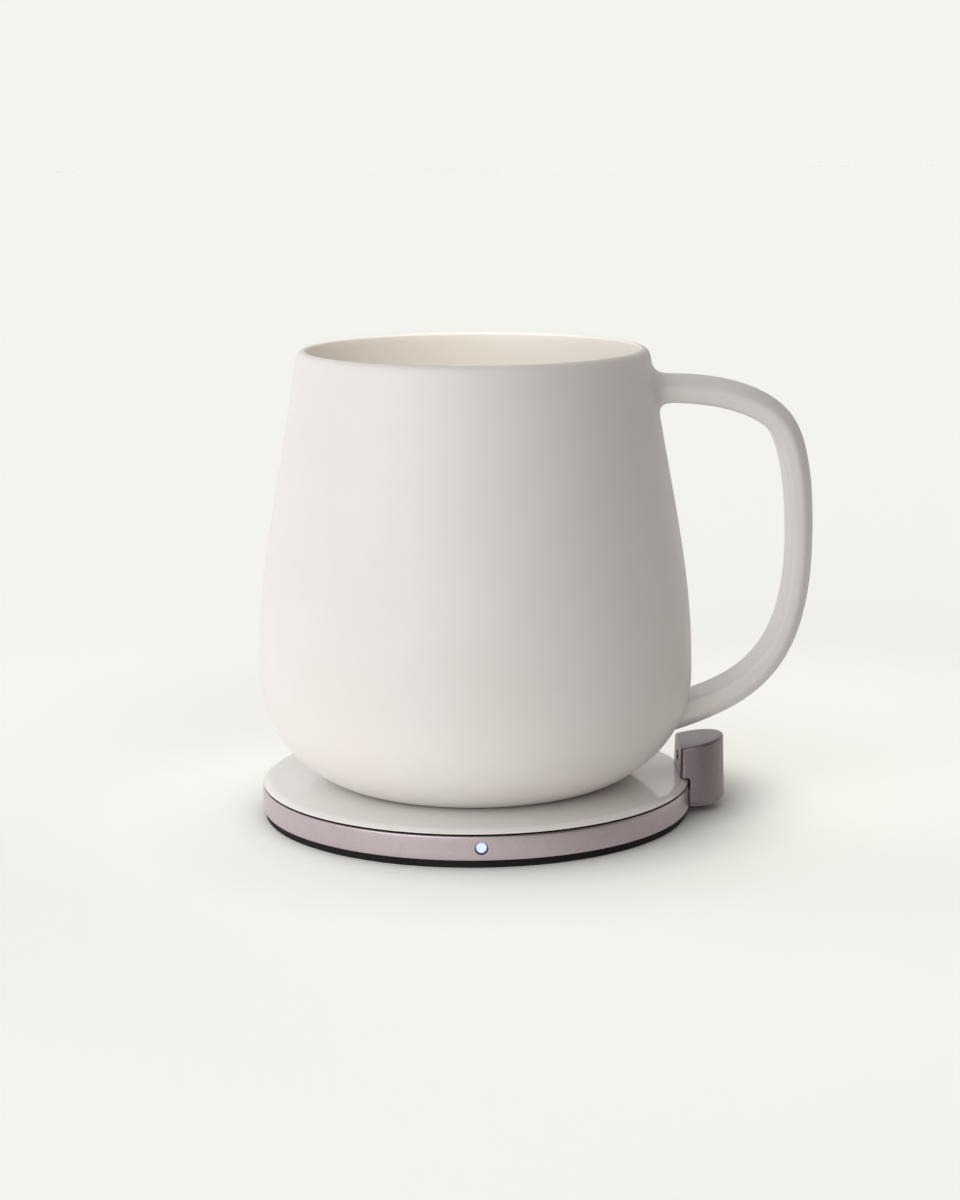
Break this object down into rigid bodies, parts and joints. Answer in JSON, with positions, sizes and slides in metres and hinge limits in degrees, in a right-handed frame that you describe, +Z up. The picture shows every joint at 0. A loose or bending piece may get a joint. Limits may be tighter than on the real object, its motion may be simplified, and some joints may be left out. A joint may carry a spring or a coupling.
{
  "type": "self heating mug",
  "caption": "Rounded ceramic mug with a looped handle on a thin round heating pad, whose edge carries a status light and a D-shaped sensor post.",
  "frame": {"origin": "centre of the pad's underside, on the surface it stands on", "axes": "+Z up along the mug's and pad's common axis, +X towards the handle and the sensor post, -Y towards the status light"},
  "size_m": [0.1158, 0.0906, 0.0976],
  "materials": {
    "black_rubber": "matt, finely grained",
    "white_silicone": "matt",
    "mauve_metal": "satin, fine metallic grain",
    "white_plate": "glossy white with a soft sheen",
    "cream_ceramic": "fired glaze, satin outside and glossier inside",
    "dark_plastic": "moulded, matt",
    "plain_steel": "plated, finely brushed",
    "heating_steel": "rolled",
    "copper": "enamelled copper",
    "ferrite": "pressed, matt",
    "mica": "flaky sheen",
    "board_green": "solder resist",
    "capacitor_tan": "fired ceramic",
    "lamp_white": "moulded",
    "lens_blue": "clear light pipe, lit pale blue",
    "window_black": "dark and glossy",
    "cable_white": "flat ribbon",
    "felt": "pressed felt",
    "cover_plastic": "moulded, matt"
  },
  "bodies": {
    "pad": {"foot_mat": "black_rubber", "base_tray": "dark_plastic", "base_screws": "plain_steel", "outer_ring": "mauve_metal", "plate_gasket": "black_rubber", "top_plate": "white_plate", "ferrite_sheet": "ferrite", "coil_carrier": "dark_plastic", "induction_coil": "copper", "coil_leads": "copper", "heat_shield": "mica", "plate_temperature_sensor": "white_silicone", "sensor_lead": "cable_white", "circuit_board": "board_green", "board_screws": "plain_steel", "controller_chip": "dark_plastic", "power_transistors": "dark_plastic", "filter_capacitors": "capacitor_tan", "power_inductor": "ferrite", "status_led": "lamp_white", "light_lens": "lens_blue", "light_sleeve": "dark_plastic", "power_socket": "plain_steel", "socket_tongue": "dark_plastic", "post_housing": "mauve_metal", "sensor_window": "window_black", "post_neck": "dark_plastic", "post_screws": "plain_steel", "post_cap": "dark_plastic", "cap_screw": "plain_steel", "post_board": "board_green", "infrared_sensor": "plain_steel", "post_cable": "cable_white"},
    "mug": {"mug_body": "cream_ceramic", "heating_disc": "heating_steel", "insulation_disc": "felt", "base_cover": "cover_plastic", "base_seal": "white_silicone"}
  },
  "joints": [
    {"name": "mug_lift", "type": "slide", "parent": "pad", "child": "mug", "axis": [0, 0, 1], "range_m": [0, 0.15]}
  ]
}
